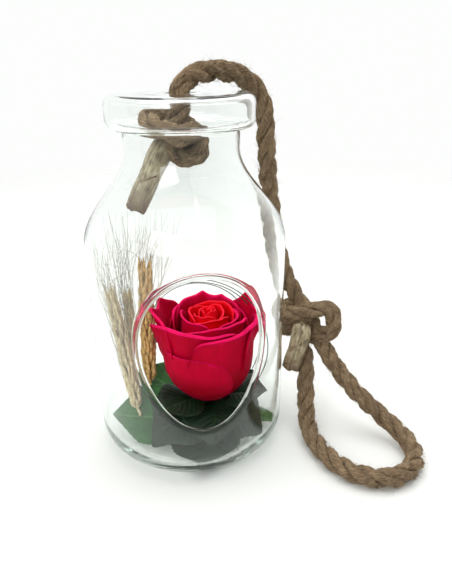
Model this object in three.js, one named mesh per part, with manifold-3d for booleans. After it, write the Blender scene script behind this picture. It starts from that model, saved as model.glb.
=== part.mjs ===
// A preserved rose in a clear blown-glass bottle with an egg-shaped side window.
// The rose, its leaves, three barley ears and looped grass blades stand on a pad of clear
// glue inside. A jute rope is knotted under the closed top, comes out through a hole in it,
// arches over the collar and lies beside the bottle with a knotted hanging loop.
// Units are millimetres, +Z is up, the window faces -Y, and the origin is the centre of the
// bottle's foot, on the surface that it stands on.
import * as THREE from "three";
import { mergeVertices } from "three/addons/utils/BufferGeometryUtils.js";
import Module from "manifold-3d";

const wasm = await Module();
wasm.setup();

// ---- Driving dimensions -------------------------------------------------------------
const bottle = {
  radius: 60, height: 220, wall: 2.6, floor: 4, footCorner: 20,
  shoulderLow: 138.5, shoulderHigh: 191, neckRadius: 33,
  collarRadius: 42, collarLow: 202, collarCorner: 4.5,
  ropeHole: 8.3, pushUp: 1.2, pushUpRadius: 26, sides: 48,
};
// The window is sized to the middle of its rounded rim, a little to the left of the front.
const window_ = {
  halfWidth: 37.2, halfHeight: 48.4, side: -1.1, centreZ: 85.8, egg: 0.1, bead: 1.8, steps: 40,
};
const ropeRadius = 6;
const clearance = 0.3;
const rose = {
  x: 11.2, y: -6.4, baseZ: 27, bowl: 22, petals: 20, coreRadius: 2.4, pitch: 1.35, rimHeight: 44,
};
const glue = { radius: 21, height: 4.5, x: 6, y: -4 };
// Leaves and sepals end in a blunt tip.
const tipHalfWidth = 0.4;

const DEG = Math.PI / 180;
const part = new THREE.Group();

const finishes = {
  glass: [0xf2f6f5, 0.03, 0], jute: [0xa87c4f, 0.95, 0], wrap: [0xb9a97a, 0.5, 0],
  petal: [0xd3063a, 0.6, 0], leaf: [0x1f5a2b, 0.5, 0], stem: [0x3c5f2c, 0.6, 0],
  straw: [0xc9a05a, 0.8, 0], grass: [0x2f6245, 0.6, 0], glue: [0xe6e8e2, 0.25, 0],
};
const materials = {};
for (const [name, [color, roughness, metalness]] of Object.entries(finishes))
  materials[name] = new THREE.MeshStandardMaterial({ color, roughness, metalness });

function add(name, geometry, material) {
  const mesh = new THREE.Mesh(geometry, materials[material]);
  mesh.name = name;
  part.add(mesh);
  return mesh;
}

// ---- Geometry helpers ---------------------------------------------------------------
const vec = (x, y, z) => new THREE.Vector3(x, y, z);

function geometryFrom(points, triangles) {
  const geometry = new THREE.BufferGeometry();
  geometry.setAttribute("position", new THREE.Float32BufferAttribute(points.flatMap((p) => p.toArray()), 3));
  geometry.setIndex(triangles);
  return geometry;
}

// Twice the signed volume of a closed mesh tells whether its faces point out.
function facingOut(points, triangles) {
  let volume = 0;
  for (let i = 0; i < triangles.length; i += 3) {
    const [a, b, c] = [points[triangles[i]], points[triangles[i + 1]], points[triangles[i + 2]]];
    volume += a.dot(b.clone().cross(c));
  }
  if (volume >= 0) return triangles;
  const turned = [];
  for (let i = 0; i < triangles.length; i += 3)
    turned.push(triangles[i], triangles[i + 2], triangles[i + 1]);
  return turned;
}

// A closed body from rings of equal point counts, with a fan cap at each end.
function ringBody(rings) {
  const points = rings.flat();
  const n = rings[0].length;
  const triangles = [];
  for (let r = 0; r + 1 < rings.length; r++)
    for (let i = 0; i < n; i++) {
      const [a, b] = [r * n + i, r * n + ((i + 1) % n)];
      triangles.push(a, b, b + n, a, b + n, a + n);
    }
  for (const [start, flip] of [[0, true], [(rings.length - 1) * n, false]]) {
    const centre = points.length;
    points.push(rings[start / n].reduce((s, p) => s.add(p), vec(0, 0, 0)).divideScalar(n));
    for (let i = 0; i < n; i++) {
      const [a, b] = [start + i, start + ((i + 1) % n)];
      triangles.push(centre, flip ? b : a, flip ? a : b);
    }
  }
  return geometryFrom(points, facingOut(points, triangles));
}

// A closed shell between two surfaces, face(u, v, side), with u and v from 0 to 1.
function shellBody(face, nu, nv) {
  const points = [];
  for (const side of [0, 1])
    for (let i = 0; i <= nu; i++) for (let j = 0; j <= nv; j++) points.push(face(i / nu, j / nv, side));
  const at = (i, j, side) => side * (nu + 1) * (nv + 1) + i * (nv + 1) + j;
  const triangles = [];
  const quad = (a, b, c, d) => triangles.push(a, b, c, a, c, d);
  for (let i = 0; i < nu; i++)
    for (let j = 0; j < nv; j++) {
      quad(at(i, j, 0), at(i + 1, j, 0), at(i + 1, j + 1, 0), at(i, j + 1, 0));
      quad(at(i, j, 1), at(i, j + 1, 1), at(i + 1, j + 1, 1), at(i + 1, j, 1));
    }
  for (let i = 0; i < nu; i++) {
    quad(at(i, 0, 0), at(i, 0, 1), at(i + 1, 0, 1), at(i + 1, 0, 0));
    quad(at(i, nv, 0), at(i + 1, nv, 0), at(i + 1, nv, 1), at(i, nv, 1));
  }
  for (let j = 0; j < nv; j++) {
    quad(at(0, j, 0), at(0, j + 1, 0), at(0, j + 1, 1), at(0, j, 1));
    quad(at(nu, j, 0), at(nu, j, 1), at(nu, j + 1, 1), at(nu, j + 1, 0));
  }
  return geometryFrom(points, facingOut(points, triangles));
}

// A round tube along a smooth curve through the points; radius is a number or a function of 0..1.
function tube(points, radius, steps, sides) {
  const curve = new THREE.CatmullRomCurve3(points.map((p) => vec(...p)), false, "centripetal");
  const frames = curve.computeFrenetFrames(steps, false);
  const at = (t) => (typeof radius === "number" ? radius : radius(t));
  const rings = [];
  for (let k = 0; k <= steps; k++) {
    const centre = curve.getPointAt(k / steps);
    rings.push(Array.from({ length: sides }, (_, i) => {
      const angle = (2 * Math.PI * i) / sides;
      return centre.clone()
        .addScaledVector(frames.normals[k], at(k / steps) * Math.cos(angle))
        .addScaledVector(frames.binormals[k], at(k / steps) * Math.sin(angle));
    }));
  }
  return ringBody(rings);
}

function ellipsoid(cx, cy, cz, rx, ry, rz, wide = 16, high = 10) {
  const geometry = new THREE.SphereGeometry(1, wide, high);
  geometry.scale(rx, ry, rz);
  geometry.translate(cx, cy, cz);
  return geometry;
}

function solidOf(geometry) {
  const bare = geometry.clone();
  bare.deleteAttribute("normal");
  bare.deleteAttribute("uv");
  const merged = mergeVertices(bare, 1e-4);
  const mesh = new wasm.Mesh({
    numProp: 3,
    vertProperties: new Float32Array(merged.attributes.position.array),
    triVerts: new Uint32Array(merged.index.array),
  });
  return new wasm.Manifold(mesh);
}

function geometryOf(solid) {
  const mesh = solid.getMesh();
  const geometry = new THREE.BufferGeometry();
  geometry.setAttribute("position", new THREE.BufferAttribute(mesh.vertProperties, 3));
  geometry.setIndex(new THREE.BufferAttribute(mesh.triVerts, 1));
  return geometry;
}

// ---- Glass bottle -------------------------------------------------------------------
// Radius of the smooth shoulder between the body and the neck, on the outside.
function shoulderPoints(low, high, bodyRadius, neckRadius, steps) {
  return Array.from({ length: steps + 1 }, (_, i) => {
    const t = i / steps;
    const s = t * t * (3 - 2 * t);
    return [bodyRadius + (neckRadius - bodyRadius) * s, low + (high - low) * t];
  });
}

function arc(cr, cz, radius, from, to, steps) {
  return Array.from({ length: steps + 1 }, (_, i) => {
    const angle = (from + ((to - from) * i) / steps) * DEG;
    return [cr + radius * Math.cos(angle), cz + radius * Math.sin(angle)];
  });
}

function bottleProfile() {
  const b = bottle;
  const inner = b.footCorner - b.wall;
  const corner = b.collarCorner;
  const innerCorner = corner - b.wall * 0.7;
  const outside = [
    [0, b.pushUp], [b.pushUpRadius, b.pushUp], [b.pushUpRadius + 3, 0],
    ...arc(b.radius - b.footCorner, b.footCorner, b.footCorner, -90, 0, 5),
    ...shoulderPoints(b.shoulderLow, b.shoulderHigh, b.radius, b.neckRadius, 7),
    [b.neckRadius, b.collarLow],
    ...arc(b.collarRadius - corner, b.collarLow + corner, corner, -90, 0, 2),
    ...arc(b.collarRadius - corner, b.height - corner, corner, 0, 90, 2),
    [b.ropeHole, b.height],
  ];
  const inside = [
    [b.ropeHole, b.height - b.wall],
    ...arc(b.collarRadius - b.wall - innerCorner, b.height - b.wall - innerCorner, innerCorner, 90, 0, 2),
    ...arc(b.collarRadius - b.wall - innerCorner, b.collarLow + b.wall + innerCorner, innerCorner, 0, -90, 2),
    [b.neckRadius - b.wall, b.collarLow + b.wall],
    ...shoulderPoints(b.shoulderLow, b.shoulderHigh, b.radius - b.wall, b.neckRadius - b.wall, 7).reverse(),
    ...arc(b.radius - b.wall - inner, b.floor + inner, inner, 0, -90, 5),
    [0, b.floor],
  ];
  return [...outside, ...inside].map(([r, z]) => new THREE.Vector2(r, z));
}

// A lathe turned about +Z that closes on the axis at both ends of its profile.
function turned(profile, sides) {
  const geometry = new THREE.LatheGeometry(profile, sides);
  geometry.rotateX(90 * DEG);
  return geometry;
}

// The window's edge: an egg, broader above its middle, at parameter t from 0 to 1.
function windowEdge(t) {
  const w = window_;
  const angle = 2 * Math.PI * t;
  const x = w.side + w.halfWidth * Math.cos(angle) * (1 + w.egg * Math.sin(angle));
  return [x, w.centreZ + w.halfHeight * Math.sin(angle)];
}

function windowCutter() {
  const outline = Array.from({ length: window_.steps }, (_, i) => windowEdge(i / window_.steps));
  const shape = new THREE.Shape(outline.map(([x, z]) => new THREE.Vector2(x, z)));
  const geometry = new THREE.ExtrudeGeometry(shape, { depth: bottle.radius, bevelEnabled: false });
  geometry.rotateX(90 * DEG);
  geometry.translate(0, -20, 0); // stays clear of the back wall
  return geometry;
}

// The fire-polished bead that follows the window's edge on the wall.
function windowBead() {
  const seat = bottle.radius - window_.bead;
  const sides = 7;
  const n = window_.steps;
  const centres = Array.from({ length: n }, (_, i) => {
    const [x, z] = windowEdge(i / n);
    return vec(x, -Math.sqrt(seat * seat - x * x), z);
  });
  const points = [];
  const triangles = [];
  centres.forEach((centre, i) => {
    const along = centres[(i + 1) % n].clone().sub(centres[(i + n - 1) % n]).normalize();
    const outward = vec(centre.x, centre.y, 0).normalize();
    const side = along.clone().cross(outward).normalize();
    for (let k = 0; k < sides; k++) {
      const angle = (2 * Math.PI * k) / sides;
      points.push(centre.clone()
        .addScaledVector(outward, window_.bead * 0.98 * Math.cos(angle))
        .addScaledVector(side, window_.bead * Math.sin(angle)));
      const [a, b] = [i * sides + k, i * sides + ((k + 1) % sides)];
      const [c, d] = [((i + 1) % n) * sides + k, ((i + 1) % n) * sides + ((k + 1) % sides)];
      triangles.push(a, b, d, a, d, c);
    }
  });
  return geometryFrom(points, facingOut(points, triangles));
}

const shell = solidOf(turned(bottleProfile(), bottle.sides));
const openShell = shell.subtract(solidOf(windowCutter()));
add("glass_bottle", geometryOf(openShell.add(solidOf(windowBead()))), "glass");

// ---- Jute rope ----------------------------------------------------------------------
const knots = {
  rope_inner_knot: { centre: [-6, 0, 200], size: [17, 15.5, 15.6] },
  rope_outer_knot: { centre: [89, 13, 68], size: [21, 17, 18.5] },
};
const routes = {
  rope_inner_end: [[-13.5, -1, 187], [-18.5, -1, 177], [-23.5, -1, 167], [-28.5, -1, 157]],
  rope_span: [
    [0, 0, 208], [0, 0, 214], [0, 0, 219.5], [3.2, 1.3, 225.6], [12, 5, 229.4],
    [25, 10.3, 230.2], [39, 16, 227],
    [50, 20.7, 218], [55.4, 22.9, 205], [57.2, 23.6, 183], [60.5, 25, 154], [67, 27, 120],
    [73, 24, 96], [80, 19, 82],
  ],
  rope_loop: [
    [84, 4, 56], [79, -6, 42], [76.5, -15, 25], [73.5, -28, 10], [73, -45, 6.2], [77, -65, 6.2],
    [87, -80, 6.2], [102, -87, 6.2], [117, -84, 6.2], [128, -73, 6.4], [130, -59, 8],
    [121.5, -42, 15], [106, -27, 30], [97, -14, 43], [92, -2, 54],
  ],
  rope_outer_end: [[84, -1, 66], [78.75, -8.75, 57.75], [73.5, -16.5, 49.5]],
};

// Cuts a tube back from the knots that it runs into, so that they meet with a small gap.
function freeOfKnots(geometry) {
  let solid = solidOf(geometry);
  for (const { centre, size } of Object.values(knots))
    solid = solid.subtract(solidOf(ellipsoid(...centre, ...size.map((s) => s + clearance))));
  return solid.decompose().reduce((a, b) => (a.volume() > b.volume() ? a : b));
}

for (const [name, { centre, size }] of Object.entries(knots)) {
  add(name, ellipsoid(...centre, ...size), "jute");
}
const tubeSteps = { rope_inner_end: 3, rope_span: 16, rope_loop: 18, rope_outer_end: 2 };
const ropeSolids = {};
for (const [name, route] of Object.entries(routes)) {
  const radius = name.endsWith("_end") ? ropeRadius - 0.9 : ropeRadius;
  ropeSolids[name] = freeOfKnots(tube(route, radius, tubeSteps[name], 10));
}
for (const [name, solid] of Object.entries(ropeSolids)) {
  const free = name.endsWith("_end") ? solid.subtract(ropeSolids.rope_loop) : solid;
  add(name, geometryOf(free), "jute");
}

// The glued sleeve on each cut end: a short pipe round the rope, clear of the knot.
function sleeve(route, from, to) {
  const a = vec(...route[0]).lerp(vec(...route.at(-1)), from);
  const b = vec(...route[0]).lerp(vec(...route.at(-1)), to);
  const [inner, outer] = [ropeRadius - 0.5, ropeRadius + 0.5];
  const length = a.distanceTo(b);
  const profile = [[inner, 0], [outer, 0], [outer, length], [inner, length], [inner, 0]];
  const geometry = turned(profile.map(([r, z]) => new THREE.Vector2(r, z)), 14);
  const along = b.clone().sub(a).normalize();
  geometry.applyQuaternion(new THREE.Quaternion().setFromUnitVectors(vec(0, 0, 1), along));
  geometry.translate(...a.toArray());
  return geometry;
}
add("inner_end_sleeve", geometryOf(freeOfKnots(sleeve(routes.rope_inner_end, 0.3, 0.97))), "wrap");
const outerSleeve = freeOfKnots(sleeve(routes.rope_outer_end, 0.4, 0.97)).subtract(ropeSolids.rope_loop);
add("outer_end_sleeve", geometryOf(outerSleeve), "wrap");

// ---- Rose head ----------------------------------------------------------------------
// Petal k is a curved shell on its own layer, so no two petals meet: outer layers lie
// further out and start lower. Its outline is rounded, and its rim turns out.
function petal(k) {
  const layer = k / (rose.petals - 1);
  const radius = rose.coreRadius + 1.2 + k * rose.pitch;
  const depth = 7 + layer * (rose.bowl - 7);
  const top = rose.baseZ + rose.bowl + rose.rimHeight - 9 * layer * layer;
  const spread = (95 - 35 * layer) * DEG;
  const turn = k * 137.5 * DEG;
  const flare = 0.5 + 5.5 * layer * layer;
  const bowlShare = 0.5;
  return (u, v, side) => {
    const thick = side * 0.7;
    const across = 2 * u - 1;
    const angle = turn + spread * across;
    const centreZ = rose.baseZ + rose.bowl;
    let r;
    let z;
    if (v < bowlShare) {
      const phi = (14 + (76 * v) / bowlShare) * DEG;
      r = (radius + thick) * Math.sin(phi);
      z = centreZ - (depth + thick * 0.5) * Math.cos(phi);
    } else {
      const t = (v - bowlShare) / (1 - bowlShare);
      z = centreZ + (top - centreZ) * t * (1 - 0.35 * Math.abs(across) ** 3);
      r = radius + thick + flare * ((z - centreZ) / rose.rimHeight) ** 2;
    }
    return vec(rose.x + r * Math.cos(angle), rose.y + r * Math.sin(angle), z);
  };
}
for (let k = 0; k < rose.petals; k++) {
  const name = `rose_petal_${String(k + 1).padStart(2, "0")}`;
  add(name, shellBody(petal(k), 5, 4), "petal");
}
add("rose_bud_core", ellipsoid(rose.x, rose.y, rose.baseZ + rose.bowl + 20, 2.4, 2.4, 22, 10, 8), "petal");

// ---- Calyx, stem and glue pad ---------------------------------------------------------
const hipTop = rose.baseZ - 1.6;
add("rose_calyx", turned([[0, 17], [3.2, 17.6], [6.2, 21], [6.6, hipTop - 1], [4.5, hipTop], [0, hipTop]]
  .map(([r, z]) => new THREE.Vector2(r, z)), 14).translate(rose.x, rose.y, 0), "leaf");
const sepals = { count: 5, turn: 17.2, start: 8, length: 13, half: 4.4, low: 20.5, rise: 3.2, thick: 0.8 };
for (let k = 0; k < sepals.count; k++) {
  const angle = ((k * 360) / sepals.count + sepals.turn) * DEG;
  const face = (u, v, side) => {
    const bulge = Math.sqrt(Math.max(0, 1 - v * v)) * (0.55 + 0.45 * Math.sin(Math.PI * v));
    const half = sepals.half * bulge + tipHalfWidth;
    const r = sepals.start + sepals.length * v;
    const z = sepals.low + sepals.rise * v * v - sepals.thick * side;
    const w = half * (2 * u - 1);
    return vec(rose.x + r * Math.cos(angle) - w * Math.sin(angle),
      rose.y + r * Math.sin(angle) + w * Math.cos(angle), z);
  };
  add(`rose_sepal_${k + 1}`, shellBody(face, 2, 5), "leaf");
}
const stemHeights = [9, 13, 16.6];
add("rose_stem", tube(stemHeights.map((z) => [rose.x, rose.y, z]), 2.6, 2, 10), "stem");
add("glue_pad", turned([[0, bottle.floor + clearance], [glue.radius, bottle.floor + clearance],
  [glue.radius - 2, bottle.floor + 2.4], [glue.radius * 0.5, bottle.floor + glue.height],
  [0, bottle.floor + glue.height]]
  .map(([r, z]) => new THREE.Vector2(r, z)), 20).translate(glue.x, glue.y, 0), "glue");

// ---- Leaves ---------------------------------------------------------------------------
// Each leaf: azimuth from +X in degrees, start radius and height from the rose's axis,
// length, half width, rise in degrees at its base, and droop in mm at its tip.
const leaves = [
  { name: "leaf_left", azimuth: 192, start: 22, z: 9.2, length: 38, half: 13, rise: 10, droop: 5 },
  { name: "leaf_front_left", azimuth: 232, start: 14, z: 14.5, length: 40, half: 15, rise: 14, droop: 9 },
  { name: "leaf_front", azimuth: 268, start: 19, z: 7.2, length: 24, half: 13, rise: 0, droop: -1.5 },
  { name: "leaf_front_right", azimuth: 302, start: 14, z: 14.5, length: 29.5, half: 13, rise: 10, droop: 6 },
  { name: "leaf_right", azimuth: 345, start: 20, z: 9.5, length: 21.8, half: 9.5, rise: 12, droop: 1 },
  { name: "leaf_right_curl", azimuth: 20, start: 22, z: 14.5, length: 28, half: 7, rise: 42, droop: 8 },
  { name: "leaf_back_right", azimuth: 58, start: 14, z: 14, length: 40, half: 12, rise: 20, droop: 6 },
  { name: "leaf_back", azimuth: 101, start: 16, z: 9.5, length: 38, half: 13, rise: 14, droop: 2 },
  { name: "leaf_back_left", azimuth: 140, start: 22, z: 15, length: 34, half: 11, rise: 36, droop: 2 },
  { name: "leaf_upper_left", azimuth: 196, start: 13, z: 25.5, length: 27, half: 11, rise: 30, droop: 1 },
  { name: "leaf_upper_front", azimuth: 262, start: 13, z: 25.2, length: 26, half: 12, rise: 10, droop: 2 },
  { name: "leaf_upper_right", azimuth: 335, start: 13, z: 25.5, length: 26, half: 11, rise: 30, droop: 1 },
];
function leafFace({ azimuth, start, z, length, half, rise, droop }) {
  const a = azimuth * DEG;
  return (u, v, side) => {
    const out = start + length * v * Math.cos(rise * DEG);
    const width = half * Math.sin(Math.PI * v ** 0.8) ** 0.8 + tipHalfWidth;
    const w = width * (2 * u - 1);
    const fold = 1.6 * (Math.abs(w) / half);
    const height = z + length * v * Math.sin(rise * DEG) - droop * v * v + fold - 0.7 * side;
    return vec(
      rose.x + out * Math.cos(a) - w * Math.sin(a), rose.y + out * Math.sin(a) + w * Math.cos(a), height,
    );
  };
}
for (const leaf of leaves) add(leaf.name, shellBody(leafFace(leaf), 4, 6), "leaf");

// ---- Barley ears ------------------------------------------------------------------------
// A stalk, and an ear whose grains and bristles fill one slim spindle.
const ears = [
  { name: "left", foot: [-36, -3, 15], low: [-38, 0, 26], high: [-48, 7, 107], radius: 4.4 },
  { name: "middle", foot: [-35, 11, 14], low: [-36, 13, 26], high: [-37, 19, 100], radius: 4 },
  { name: "right", foot: [-26, 8, 14], low: [-27, 9, 34], high: [-25, 9, 120], radius: 4.8 },
];
for (const ear of ears) {
  const low = vec(...ear.low);
  const high = vec(...ear.high);
  add(`barley_stalk_${ear.name}`, tube([ear.foot, vec(...ear.foot).lerp(low, 0.5).toArray(),
    low.clone().lerp(high, -0.01).toArray()], 0.9, 3, 6), "straw");
  const spindle = (t) => ear.radius * Math.sin(Math.PI * (0.12 + 0.8 * t)) ** 0.7;
  const spine = [low.toArray(), low.clone().lerp(high, 0.5).toArray(), ear.high];
  add(`barley_ear_${ear.name}`, tube(spine, spindle, 8, 8), "straw");
}

// ---- Looped grass blades ----------------------------------------------------------------
// Each blade is one bent strip, from the leaves on one side, over the rose, to the other.
const bladeCentreZ = 60;
const blades = [
  { name: "outer", y: 8, turn: -20, radiusX: 45.5, radiusZ: 46.5, centreX: 8.5, from: -38, to: 212 },
  { name: "middle", y: 10, turn: -12, radiusX: 40, radiusZ: 43.5, centreX: 9, from: -30, to: 205 },
  { name: "inner", y: 14, turn: -6, radiusX: 36.5, radiusZ: 41, centreX: 8, from: -28, to: 200 },
];
for (const blade of blades) {
  const route = Array.from({ length: 9 }, (_, i) => {
    const angle = (blade.from + ((blade.to - blade.from) * i) / 8) * DEG;
    const across = blade.radiusX * Math.cos(angle);
    return [
      blade.centreX + across * Math.cos(blade.turn * DEG),
      blade.y + across * Math.sin(blade.turn * DEG),
      bladeCentreZ + blade.radiusZ * Math.sin(angle),
    ];
  });
  add(`grass_blade_${blade.name}`, tube(route, 0.6, 16, 5), "grass");
}

export default part;
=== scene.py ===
import itertools
import math
import random

import bmesh
import bpy
import numpy as np
from mathutils import Matrix


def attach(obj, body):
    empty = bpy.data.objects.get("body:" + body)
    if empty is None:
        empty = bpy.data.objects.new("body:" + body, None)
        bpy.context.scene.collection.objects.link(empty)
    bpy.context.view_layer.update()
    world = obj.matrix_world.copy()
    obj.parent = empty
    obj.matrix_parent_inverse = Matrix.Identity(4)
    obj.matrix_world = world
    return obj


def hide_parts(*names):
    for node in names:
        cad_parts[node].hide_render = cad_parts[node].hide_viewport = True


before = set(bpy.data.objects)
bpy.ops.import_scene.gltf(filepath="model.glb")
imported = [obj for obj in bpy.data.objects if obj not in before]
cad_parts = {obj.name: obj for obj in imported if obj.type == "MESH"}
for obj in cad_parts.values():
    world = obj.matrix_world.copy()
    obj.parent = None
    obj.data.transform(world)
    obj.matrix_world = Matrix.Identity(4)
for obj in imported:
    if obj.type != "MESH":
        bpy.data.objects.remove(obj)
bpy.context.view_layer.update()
scene = bpy.context.scene

# ---- Camera and film ----
CAMERA_PLACE = (-0.0494, -0.3209, 0.2400)
CAMERA_PITCH, CAMERA_HEADING, CAMERA_ROLL = 66.81, -12.99, -0.66
CAMERA_LENS = 34.52

camera = bpy.data.objects.new("camera", bpy.data.cameras.new("camera"))
scene.collection.objects.link(camera)
camera.data.lens = CAMERA_LENS
camera.data.clip_start = 0.01
camera.matrix_world = (
    Matrix.Translation(CAMERA_PLACE)
    @ Matrix.Rotation(math.radians(CAMERA_HEADING), 4, "Z")
    @ Matrix.Rotation(math.radians(CAMERA_PITCH), 4, "X")
    @ Matrix.Rotation(math.radians(CAMERA_ROLL), 4, "Z")
)
scene.camera = camera
scene.view_settings.view_transform = "Standard"
# Light runs a long way inside the thick foot and rim of the glass.
scene.cycles.max_bounces, scene.cycles.glossy_bounces, scene.cycles.transmission_bounces = 28, 20, 24


# ---- Curves, grids and meshes ----
def unit(v):
    v = np.asarray(v, float)
    return v / np.maximum(np.linalg.norm(v, axis=-1, keepdims=True), 1e-12)


def smoothstep(low, high, x):
    t = np.clip((x - low) / (high - low), 0, 1)
    return t * t * (3 - 2 * t)


def steps_along(path):
    """The distance from the start of a path to each of its points."""
    return np.concatenate([[0], np.cumsum(np.linalg.norm(np.diff(path, axis=0), axis=1))])


def stacked(*parts):
    """Arrays of one shape, or that spread to one, put together along a new last axis."""
    return np.stack(np.broadcast_arrays(*parts), axis=-1)


def round_angles(sides):
    return np.arange(sides) * 2 * math.pi / sides


def smooth_path(points, step):
    """Points at an even step along a centripetal Catmull-Rom curve through the given ones."""
    p = np.array(points, float)
    p = np.vstack([2 * p[0] - p[1], p, 2 * p[-1] - p[-2]])
    dense = [p[1]]
    for a, b, c, d in zip(p, p[1:], p[2:], p[3:]):
        t1 = np.linalg.norm(b - a) ** 0.5
        t2 = t1 + np.linalg.norm(c - b) ** 0.5
        t3 = t2 + np.linalg.norm(d - c) ** 0.5
        for t in np.linspace(t1, t2, 25)[1:]:
            ab = a * (t1 - t) / t1 + b * t / t1
            bc = b * (t2 - t) / (t2 - t1) + c * (t - t1) / (t2 - t1)
            cd = c * (t3 - t) / (t3 - t2) + d * (t - t2) / (t3 - t2)
            abc = ab * (t2 - t) / t2 + bc * t / t2
            bcd = bc * (t3 - t) / (t3 - t1) + cd * (t - t1) / (t3 - t1)
            dense.append(abc * (t2 - t) / (t2 - t1) + bcd * (t - t1) / (t2 - t1))
    dense = np.array(dense)
    along = steps_along(dense)
    even = np.linspace(0, along[-1], max(3, round(along[-1] / step) + 1))
    return np.stack([np.interp(even, along, dense[:, k]) for k in range(dense.shape[1])], axis=1)


def frames_along(path):
    """Tangents, and two crosswise directions that turn as little as they can along the path."""
    tangent = unit(np.gradient(path, axis=0))
    start = np.array([0, 0, 1.0]) if abs(tangent[0][2]) < 0.8 else np.array([1.0, 0, 0])
    normal = np.zeros_like(path)
    for i, t in enumerate(tangent):
        start = unit(start - t * (start @ t))
        normal[i] = start
    return tangent, normal, np.cross(tangent, normal)


def grid_faces(rows, columns, closed=False, start=0):
    """Quads between rows of points; closed joins the last column to the first."""
    wide = columns if closed else columns - 1
    i, j = np.meshgrid(np.arange(rows - 1), np.arange(wide), indexing="ij")
    a = start + i * columns + j
    b = start + i * columns + (j + 1) % columns
    return np.stack([a, b, b + columns, a + columns], axis=-1).reshape(-1, 4).tolist()


class Build:
    """Points, faces and texture coordinates of one mesh, gathered from closed bodies."""

    def __init__(self):
        self.points, self.uvs, self.faces, self.count = [], [], [], 0

    def add(self, points, faces, uv=None):
        points = np.asarray(points, float).reshape(-1, 3)
        uv = np.zeros((len(points), 2)) if uv is None else np.asarray(uv, float).reshape(-1, 2)
        self.faces += [[i + self.count for i in f] for f in faces]
        self.points.append(points)
        self.uvs.append(uv)
        self.count += len(points)

    def rings(self, points, sides, ends, uv=None, end_uv=None):
        """A closed body: rings of points, with a fan to an end point at each of its two ends."""
        points = np.asarray(points).reshape(-1, 3)
        first, last = len(points), len(points) - sides
        faces = grid_faces(first // sides, sides, closed=True)
        faces += [[first, (k + 1) % sides, k] for k in range(sides)]
        faces += [[first + 1, last + k, last + (k + 1) % sides] for k in range(sides)]
        uvs = None if uv is None else np.vstack([uv.reshape(-1, 2), end_uv])
        self.add(np.vstack([points, ends]), faces, uvs)

    def tube(self, path, radius, sides, uv_step=0.01):
        """A closed round tube; radius is a number, one for each point, or points by sides."""
        path = np.asarray(path, float)
        tangent, normal, binormal = frames_along(path)
        n = len(path)
        radius = np.broadcast_to(np.asarray(radius, float), (n,))[:, None] if np.ndim(radius) < 2 else radius
        angle = round_angles(sides)
        cosine, sine = np.cos(angle)[None, :, None], np.sin(angle)[None, :, None]
        ring = normal[:, None] * cosine + binormal[:, None] * sine
        points = path[:, None] + ring * np.broadcast_to(radius, (n, sides))[..., None]
        along = steps_along(path)
        uv = stacked(along[:, None] / uv_step, angle[None] / (2 * math.pi))
        self.rings(points, sides, path[[0, -1]], uv, [[0, 0.5], [along[-1] / uv_step, 0.5]])

    def sheet(self, surface, thickness, uv):
        """A thin closed body on a grid of points, rows by columns by 3, thinner at its edges."""
        rows, columns = surface.shape[:2]
        across = np.gradient(surface, axis=1)
        up = np.gradient(surface, axis=0)
        normal = unit(np.cross(across, up))
        i, j = np.meshgrid(np.linspace(-1, 1, rows), np.linspace(-1, 1, columns), indexing="ij")
        thin = 1 - 0.75 * np.maximum(np.abs(i) ** 14, np.abs(j) ** 14)
        offset = normal * (thickness / 2 * thin)[..., None]
        both = np.concatenate([(surface + offset).reshape(-1, 3), (surface - offset).reshape(-1, 3)])
        n = rows * columns
        faces = grid_faces(rows, columns)
        faces += [f[::-1] for f in grid_faces(rows, columns, start=n)]
        edge = list(range(columns))
        edge += [i * columns + columns - 1 for i in range(1, rows)]
        edge += [(rows - 1) * columns + j for j in range(columns - 2, -1, -1)]
        edge += [i * columns for i in range(rows - 2, 0, -1)]
        for a, b in zip(edge, edge[1:] + edge[:1]):
            faces.append([a, a + n, b + n, b])
        self.add(both, faces, np.concatenate([uv.reshape(-1, 2)] * 2))

    def finish(self, name, material, slot, replaced=()):
        points = np.vstack(self.points)
        mesh = bpy.data.meshes.new(name)
        mesh.from_pydata(points.tolist(), [], self.faces)
        layer = mesh.uv_layers.new(name="UVMap")
        corner = np.zeros(len(mesh.loops), np.int32)
        mesh.loops.foreach_get("vertex_index", corner)
        layer.data.foreach_set("uv", np.vstack(self.uvs)[corner].astype(np.float32).ravel())
        mesh.shade_smooth()
        mesh.materials.append(material)
        piece = bpy.data.objects.new(name, mesh)
        scene.collection.objects.link(piece)
        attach(piece, "root")
        if replaced:
            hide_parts(*replaced)
        return piece


def across_along(columns, rows):
    """u from -1 to 1 across a sheet, and v from 0 to 1 along it, as a row and a column."""
    return np.linspace(-1, 1, columns)[None, :], np.linspace(0, 1, rows)[:, None]


def sheet_piece(name, surface, thickness, uv, material, slot, replaced):
    build = Build()
    build.sheet(surface, thickness, uv)
    return build.finish(name, material, slot, replaced)


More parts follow.
